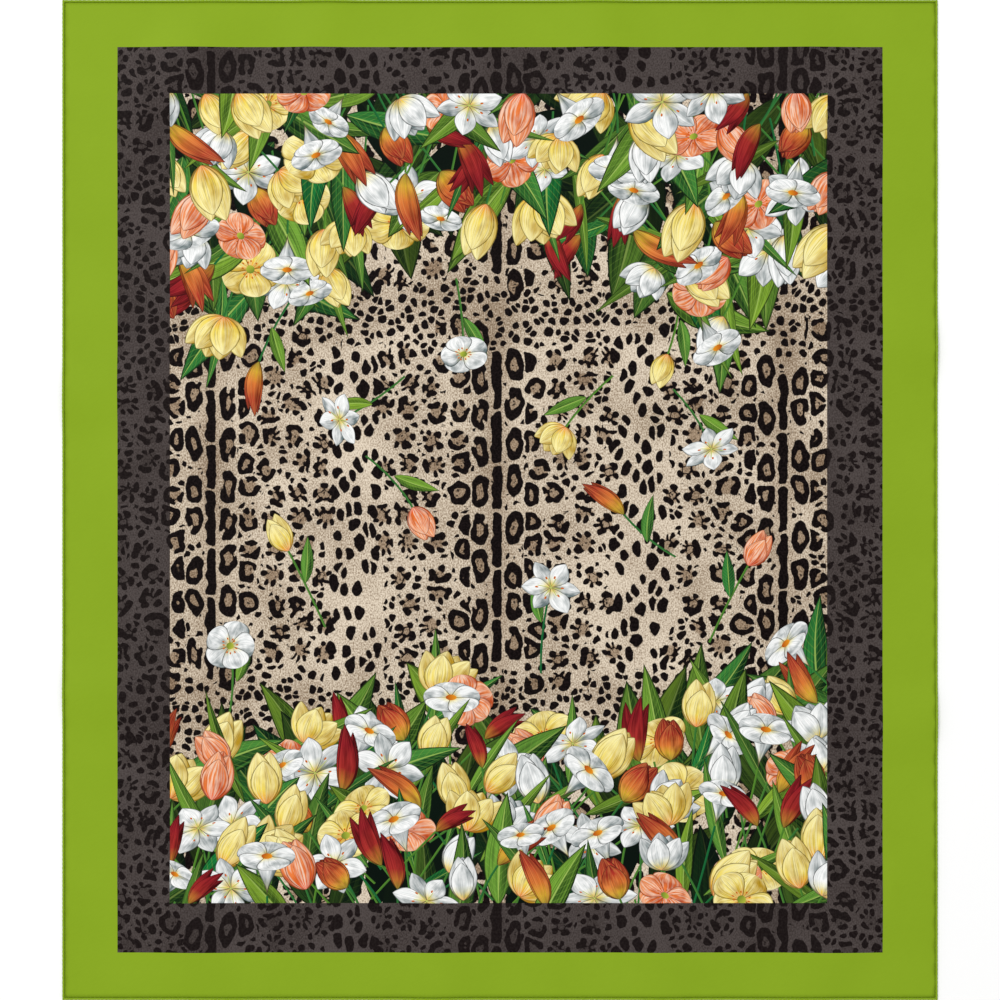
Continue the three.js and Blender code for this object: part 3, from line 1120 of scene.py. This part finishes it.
# %% Dyes of the three grounds
# Light and dark fur, what a brown centre takes from them, and the blackest and the softest black
FIELD_DYES = [
    colour(232, 217, 195), colour(143, 122, 99), colour(186, 171, 157), colour(5, 0, 0), colour(24, 15, 15),
]
BAND_DYES = [
    colour(82, 74, 72), colour(54, 46, 44), colour(226, 224, 223), colour(20, 12, 12), colour(31, 24, 23),
]


def coat(light, dark, brown, black, soft_black):
    def paint(n):
        skin = n.node("ShaderNodeGroup", node_tree=LEOPARD).outputs
        fur = n.mix(skin["Tone"], light, dark)
        fur = n.mix(skin["Brown"], fur, n.mix(1.0, fur, brown, "MULTIPLY"))
        return n.mix(skin["Spot"], fur, n.mix(skin["Ink"], black, soft_black))

    return paint


def lime(n):
    place = n.node("ShaderNodeTexCoord").outputs["Object"]
    return n.mix(n.noise(place, 9.0)[0], colour(133, 164, 31), colour(139, 170, 36))


# %% [markdown]
# ## Petal paints
# A painter shades each petal along its length, adds fine streaks that follow it, lets one side fall into
# shade and draws a thin dark line round it. All of that follows from a and b: dividing b by the petal's
# width there gives a place across it that runs from -1 to 1 on every petal, whatever its shape.


# %% Marks that all the petals share
def along_petal(n, across, a, times_across, times_along, shift, detail):
    """Noise that is drawn out along the petal, and differs from petal to petal by its shift."""
    place = n.vector(n.math("MULTIPLY_ADD", across, times_across, shift), n.math("MULTIPLY", a, times_along))
    return n.noise(place, 1.0, detail)[0]


def petal_group():
    outputs = ("Along", "Across", "Rim", "Streak", "Hatch", "Shade", "Seed", "Level")
    tree = group_of("petal marks", [], dict.fromkeys(outputs, "Float"))
    n = Wiring(tree)
    a, b, bend = n.parts(n.attribute("petal_place"))
    peak, fullness, _ = n.parts(n.attribute("petal_form"))
    seed, light, level = n.parts(n.attribute("petal_tone"))
    a = n.math("MAXIMUM", n.math("MINIMUM", a, 0.999), 0.001)
    arch = n.math("SINE", n.math("MULTIPLY", n.math("POWER", a, peak), math.pi))
    width = n.math("MAXIMUM", n.math("POWER", n.math("MAXIMUM", arch, 0.0001), fullness), 0.03)
    middle_line = n.math("MULTIPLY", bend, n.math("MULTIPLY", a, a))
    across = n.math("DIVIDE", n.math("SUBTRACT", b, middle_line), width)
    from_rim = n.math("MULTIPLY", n.math("SUBTRACT", 1.0, n.math("ABSOLUTE", across)), width)
    shift = n.math("MULTIPLY", seed, 57.0)
    streak = n.sharp(0.4, 0.62, along_petal(n, across, a, 6.5, 1.5, shift, 3.0))
    hatch = n.sharp(0.55, 0.66, along_petal(n, across, a, 15.0, 1.3, shift, 2.0))
    blotch = along_petal(n, across, a, 1.3, 2.2, shift, 2.0)
    turned_away = n.math("MULTIPLY", n.math("MULTIPLY", across, light), -0.5)
    shade = n.math("ADD", turned_away, n.math("MULTIPLY_ADD", blotch, 1.7, -0.72))
    shade = n.math("ADD", shade, n.math("MULTIPLY", level, 0.75), clamp=True)
    n.give(dict(zip(outputs, (a, across, from_rim, streak, hatch, shade, seed, level))))
    return tree


PETAL = petal_group()
LINE_WIDTH = 0.12


def marks(n):
    return n.node("ShaderNodeGroup", node_tree=PETAL).outputs


def grade(n, share, *stops):
    """A colour ramp: each stop is (position, colour)."""
    ramp = n.node("ShaderNodeValToRGB", {"Fac": share})
    elements = ramp.color_ramp.elements
    while len(elements) < len(stops):
        elements.new(0.5)
    for element, (position, shown) in zip(elements, stops):
        element.position = position
        element.color = shown
    return ramp.outputs[0]


def outlined(n, share, petal, line):
    """Draws the thin dark line round a petal."""
    drawn = n.sharp(LINE_WIDTH, LINE_WIDTH * 0.3, share["Rim"])
    return n.mix(n.math("MULTIPLY", drawn, 0.85), petal, line)


# %% Petals, leaves and small parts
def petal_paint(stops, shadow, streak_colour, streaks, line, hatching=0.3):
    """A petal that is shaded by stops along its length and darkened towards shadow."""

    def paint(n):
        m = marks(n)
        body = grade(n, m["Along"], *stops)
        body = n.mix(n.math("MULTIPLY", m["Streak"], streaks), body, streak_colour)
        body = n.mix(n.math("MULTIPLY", m["Hatch"], hatching), body, line)
        body = n.mix(m["Shade"], body, n.mix(1.0, body, shadow, "MULTIPLY"))
        return outlined(n, m, body, line)

    return paint


def leaf_paint(n):
    m = marks(n)
    dark = n.mix(m["Seed"], colour(2, 36, 18), colour(12, 54, 10))
    light = n.mix(m["Seed"], colour(22, 128, 60), colour(142, 180, 54))
    from_midrib = n.math("ABSOLUTE", m["Across"])
    veins = n.math("MULTIPLY_ADD", from_midrib, -1.9, n.math("MULTIPLY", m["Along"], 15.0))
    vein = n.math("PINGPONG", veins, 0.5)
    side = n.sharp(-0.1, 0.1, m["Across"])
    lit = n.math("ADD", n.math("MULTIPLY", side, 0.45), n.math("MULTIPLY", m["Streak"], 0.35))
    lit = n.math("ADD", lit, n.math("MULTIPLY_ADD", m["Shade"], -0.55, 0.38), clamp=True)
    body = n.mix(lit, dark, light)
    body = n.mix(n.math("MULTIPLY", n.sharp(0.12, 0.02, vein), 0.3), body, colour(140, 178, 76))
    body = n.mix(n.math("MULTIPLY", m["Hatch"], 0.6), body, colour(2, 28, 12))
    midrib = n.sharp(0.09, 0.03, from_midrib)
    body = n.mix(n.math("MULTIPLY", midrib, 0.8), body, colour(165, 195, 95))
    body = n.mix(n.sharp(0.0, 0.9, m["Level"]), body, colour(1, 13, 6))
    return outlined(n, m, body, colour(1, 12, 6))


def stem_paint(n):
    m = marks(n)
    green = n.mix(m["Seed"], colour(26, 110, 58), colour(96, 146, 44))
    lit = n.math("MULTIPLY_ADD", m["Across"], 0.5, 0.5)
    return n.mix(n.math("MULTIPLY", lit, 0.6), green, colour(10, 60, 30))


def plain_paint(light, dark):
    def paint(n):
        m = marks(n)
        return n.mix(n.math("MULTIPLY_ADD", m["Across"], 0.5, 0.5), light, dark)

    return paint


PAINT_RULES = {
    "green border": lime,
    "dark band": coat(*BAND_DYES),
    "leopard": coat(*FIELD_DYES),
    "white petal": petal_paint(
        [(0.0, colour(240, 160, 36)), (0.12, colour(243, 212, 84)), (0.26, colour(250, 246, 214)),
         (0.4, colour(255, 255, 253)), (1.0, colour(255, 255, 254))],
        colour(108, 122, 124), colour(210, 217, 216), 0.45, colour(24, 32, 30), 0.22,
    ),
    "cream petal": petal_paint(
        [(0.0, colour(242, 100, 20)), (0.14, colour(240, 172, 46)), (0.34, colour(243, 218, 96)),
         (1.0, colour(252, 241, 168))],
        colour(186, 156, 62), colour(255, 248, 196), 0.5, colour(108, 88, 16), 0.42,
    ),
    "coral petal": petal_paint(
        [(0.0, colour(236, 70, 8)), (0.25, colour(236, 118, 50)), (0.7, colour(240, 142, 82)),
         (1.0, colour(245, 164, 110))],
        colour(190, 98, 50), colour(252, 226, 204), 0.7, colour(126, 50, 14), 0.34,
    ),
    "flame petal": petal_paint(
        [(0.0, colour(110, 134, 36)), (0.2, colour(212, 172, 48)), (0.42, colour(216, 118, 50)),
         (0.72, colour(176, 52, 38)), (1.0, colour(128, 18, 28))],
        colour(128, 66, 44), colour(236, 150, 84), 0.4, colour(60, 8, 12),
    ),
    "crimson petal": petal_paint(
        [(0.0, colour(126, 140, 40)), (0.16, colour(186, 120, 44)), (0.36, colour(160, 42, 36)),
         (0.7, colour(134, 18, 32)), (1.0, colour(88, 8, 20))],
        colour(110, 60, 56), colour(190, 60, 56), 0.4, colour(44, 4, 10),
    ),
    "leaf": leaf_paint,
    "stem": stem_paint,
    "filament": plain_paint(colour(212, 214, 120), colour(150, 168, 70)),
    "anther": plain_paint(colour(236, 122, 24), colour(150, 64, 14)),
    "throat": plain_paint(colour(178, 186, 62), colour(104, 128, 40)),
    "gold throat": plain_paint(colour(232, 150, 30), colour(176, 74, 16)),
}
for name in PAINTS:
    cloth.data.materials.append(silk(name, PAINT_RULES[name]))
print(f"{len(PAINTS)} dyes are on the cloth")

# %% [markdown]
# ## Rolled hems
# A hand-rolled hem is plump between its stitches and drawn in a little at each. Geometry Nodes follow the
# edge of the cloth: the path is divided evenly, and a round section is run along it, at a scale that dips
# once for every stitch, wanders a little as hand work does, and closes at both ends. The side hems run the
# whole length, and the end ones go into them.

# %% Paths along the four edges
PATH_STEP = 12 * MM
HALF_HEM = HEM_WIDTH / 2


def edge_path(name, start, end, above):
    """A curve from start to end that rides on the ripples at this height above the cloth's underside."""
    steps = round(math.dist(start, end) / PATH_STEP)
    share = np.linspace(0, 1, steps + 1)[:, None]
    places = np.array(start) * (1 - share) + np.array(end) * share
    curve = bpy.data.curves.new(name, "CURVE")
    curve.dimensions = "3D"
    spline = curve.splines.new("POLY")
    spline.points.add(steps)
    height = lift(*places.T) + above
    spline.points.foreach_set("co", np.column_stack([places, height, np.ones(steps + 1)]).ravel())
    path = bpy.data.objects.new(name, curve)
    bpy.context.scene.collection.objects.link(path)
    return path


SIDE_X, END_Y = SCARF_WIDTH / 2 - HALF_HEM, SCARF_LENGTH / 2 - HALF_HEM
HEM_ENDS = {
    "hem_left": ((-SIDE_X, SCARF_LENGTH / 2), (-SIDE_X, -SCARF_LENGTH / 2)),
    "hem_bottom": ((-SIDE_X, -END_Y), (SIDE_X, -END_Y)),
    "hem_right": ((SIDE_X, -SCARF_LENGTH / 2), (SIDE_X, SCARF_LENGTH / 2)),
    "hem_top": ((SIDE_X, END_Y), (-SIDE_X, END_Y)),
}
STITCH_SPACING = 6 * MM
FOOT_GAP = 0.15 * MM


def inward(place):
    """A hem's end moved in to the foot of the roll, and off the corner."""
    x, y = place
    reach = np.array([SCARF_WIDTH / 2, SCARF_LENGTH / 2]) - HEM_WIDTH - FOOT_GAP
    return float(np.clip(x, -reach[0], reach[0])), float(np.clip(y, -reach[1], reach[1]))


def stitch_plan(start, end):
    """How many stitches a hem gets, and how far along the roll the first one is."""
    first, last = inward(start), inward(end)
    count = round(math.dist(first, last) / STITCH_SPACING) + 1
    return count, (math.dist(start, end) - math.dist(first, last)) / 2


for name, ends in HEM_ENDS.items():
    print(f"{name} is {math.dist(*ends):.3f} m long and gets {stitch_plan(*ends)[0]} stitches")


# %% A tree of Geometry Nodes with named inputs
def geometry_tree(name, inputs):
    """A tree with geometry in and out and inputs given as name: (socket type, value), its wiring and its
    input sockets."""
    tree = bpy.data.node_groups.new(name, "GeometryNodeTree")
    tree.interface.new_socket("Geometry", in_out="INPUT", socket_type="NodeSocketGeometry")
    for label, (kind, value) in inputs.items():
        socket = tree.interface.new_socket(label, in_out="INPUT", socket_type="NodeSocket" + kind)
        if kind != "Material":
            socket.default_value = value
    tree.interface.new_socket("Geometry", in_out="OUTPUT", socket_type="NodeSocketGeometry")
    n = Wiring(tree)
    return tree, n, n.node("NodeGroupInput").outputs


def grown(name, path, tree, settings):
    """The plain mesh that the tree makes of the path."""
    made = path.modifiers.new("grow", "NODES")
    made.node_group = tree
    for item in tree.interface.items_tree:
        if item.in_out == "INPUT" and item.name in settings:
            made[item.identifier] = settings[item.name]
    graph = bpy.context.evaluated_depsgraph_get()
    mesh = bpy.data.meshes.new_from_object(path.evaluated_get(graph))
    piece = bpy.data.objects.new(name, mesh)
    bpy.context.scene.collection.objects.link(piece)
    path.modifiers.remove(made)
    return piece


# %% The roll
ROLL_SIDES = 10
BLUNT_END = 0.62


def roll_tree():
    inputs = {
        "Width": ("Float", HEM_WIDTH), "Height": ("Float", HEM_HEIGHT), "Stitches": ("Int", 100),
        "First stitch": ("Float", HEM_WIDTH), "Dip": ("Float", 0.2), "Unevenness": ("Float", 0.12),
        "Ring spacing": ("Float", 1.5 * MM), "End": ("Float", 1.6 * MM), "Silk": ("Material", None),
    }
    tree, n, given = geometry_tree("rolled hem", inputs)
    even = n.node(
        "GeometryNodeResampleCurve",
        {"Curve": given["Geometry"], "Length": given["Ring spacing"]}, mode="LENGTH",
    )
    upright = n.node("GeometryNodeSetCurveNormal", {"Curve": even.outputs[0]}, mode="Z_UP")
    run = n.node("GeometryNodeSplineParameter").outputs["Length"]
    whole = n.node("GeometryNodeSplineLength").outputs["Length"]
    stitched = n.math("MULTIPLY_ADD", given["First stitch"], -2.0, whole)
    pitch = n.math("DIVIDE", stitched, n.math("SUBTRACT", given["Stitches"], 1.0))
    beat = n.math("DIVIDE", n.math("SUBTRACT", run, given["First stitch"]), pitch)
    beat = n.math("MULTIPLY", beat, 2 * math.pi)
    pinch = n.math("POWER", n.math("MULTIPLY_ADD", n.math("COSINE", beat), 0.5, 0.5), 2.0)
    place = n.node("GeometryNodeInputPosition").outputs[0]
    wander = n.math("MULTIPLY", n.noise(place, 45.0, 1.0)[0], given["Unevenness"])
    full = n.math("SUBTRACT", 1.0, n.math("MULTIPLY_ADD", pinch, given["Dip"], wander))
    to_end = n.math("MINIMUM", run, n.math("SUBTRACT", whole, run))
    near_end = n.math("DIVIDE", to_end, given["End"], clamp=True)
    short = n.math("POWER", n.math("SUBTRACT", 1.0, near_end), 2.0)
    rounded = n.math("SQRT", n.math("SUBTRACT", 1.0, short))
    size = n.math("MULTIPLY", full, n.math("MAXIMUM", rounded, BLUNT_END))
    ring = n.node("GeometryNodeCurvePrimitiveCircle", {"Resolution": ROLL_SIDES, "Radius": 0.5})
    oval = n.node(
        "GeometryNodeTransform",
        {"Geometry": ring.outputs[0], "Scale": n.vector(given["Width"], given["Height"], 1.0)},
    )
    roll = n.node(
        "GeometryNodeCurveToMesh",
        {"Curve": upright.outputs[0], "Profile Curve": oval.outputs[0], "Scale": size, "Fill Caps": True},
    )
    smooth = n.node("GeometryNodeSetShadeSmooth", {"Geometry": roll.outputs[0]})
    real = n.node("GeometryNodeRealizeInstances", {"Geometry": smooth.outputs[0]})
    dyed = n.node("GeometryNodeSetMaterial", {"Geometry": real.outputs[0], "Material": given["Silk"]})
    n.plug(n.node("NodeGroupOutput").inputs[0], dyed.outputs[0])
    return tree


ROLL = roll_tree()


def hem_lime(n):
    """The border's green, a little uneven, as it looks where the cloth is rolled."""
    place = n.node("ShaderNodeTexCoord").outputs["Object"]
    return n.mix(n.noise(place, 160.0)[0], colour(126, 156, 29), colour(139, 170, 36))


HEM_SILK = silk("hem silk", hem_lime)
for name, (start, end) in HEM_ENDS.items():
    count, first = stitch_plan(start, end)
    path = edge_path(name + "_path", start, end, HEM_HEIGHT / 2)
    hem = grown(name + "_roll", path, ROLL, {"Silk": HEM_SILK, "Stitches": count, "First stitch": first})
    bpy.data.objects.remove(path)
    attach(hem, "root")
    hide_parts(name)
    print(hem.name, len(hem.data.polygons), "faces")

# %% [markdown]
# ## Slip stitches
# Each stitch is a short slanting loop of silk thread that comes out of the cloth and goes into the roll.
# One is modelled and set along the foot of each hem, a stitch for every dip of the roll.

# %% Stitches along the hems
THREAD = 0.32 * MM
# The stitch's loop, along the hem, out from its foot and up: out of the cloth, over and into the roll
LOOP = {
    "Start": (-1.1 * MM, 0.5 * MM, -0.1 * MM),
    "Middle": (-0.2 * MM, -0.2 * MM, 1.3 * MM),
    "End": (1.0 * MM, -1.1 * MM, 1.25 * MM),
}


def stitch_tree():
    inputs = {"Stitches": ("Int", 100), "Thread": ("Float", THREAD), "Silk": ("Material", None)}
    tree, n, given = geometry_tree("slip stitches", inputs)
    even = n.node(
        "GeometryNodeCurveToPoints", {"Curve": given["Geometry"], "Count": given["Stitches"]}, mode="COUNT"
    )
    loop = n.node("GeometryNodeCurveQuadraticBezier", {"Resolution": 5, **LOOP})
    ring = n.node("GeometryNodeCurvePrimitiveCircle", {"Resolution": 5})
    n.plug(ring.inputs["Radius"], n.math("MULTIPLY", given["Thread"], 0.5))
    thread = n.node(
        "GeometryNodeCurveToMesh",
        {"Curve": loop.outputs[0], "Profile Curve": ring.outputs[0], "Fill Caps": True},
    )
    turn = n.node(
        "FunctionNodeAlignRotationToVector",
        {"Vector": even.outputs["Tangent"]}, axis="X", pivot_axis="Z",
    )
    copies = n.node(
        "GeometryNodeInstanceOnPoints",
        {"Points": even.outputs["Points"], "Instance": thread.outputs[0], "Rotation": turn.outputs[0]},
    )
    smooth = n.node("GeometryNodeSetShadeSmooth", {"Geometry": copies.outputs[0]})
    real = n.node("GeometryNodeRealizeInstances", {"Geometry": smooth.outputs[0]})
    dyed = n.node("GeometryNodeSetMaterial", {"Geometry": real.outputs[0], "Material": given["Silk"]})
    n.plug(n.node("NodeGroupOutput").inputs[0], dyed.outputs[0])
    return tree


STITCHES = stitch_tree()


def thread_green(n):
    """One even green: the thread's own twist gives it depth."""
    return colour(150, 180, 66)


THREAD_SILK = silk("thread silk", thread_green)
for name, (start, end) in HEM_ENDS.items():
    path = edge_path(name + "_line", inward(start), inward(end), CLOTH_LIFT + CLOTH_THICKNESS)
    count, _ = stitch_plan(start, end)
    row = grown(name + "_stitches", path, STITCHES, {"Silk": THREAD_SILK, "Stitches": count})
    bpy.data.objects.remove(path)
    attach(row, "root")
    print(row.name, len(row.data.polygons), "faces")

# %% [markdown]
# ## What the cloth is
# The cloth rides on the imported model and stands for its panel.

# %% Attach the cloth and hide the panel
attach(cloth, "root")
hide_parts("panel")
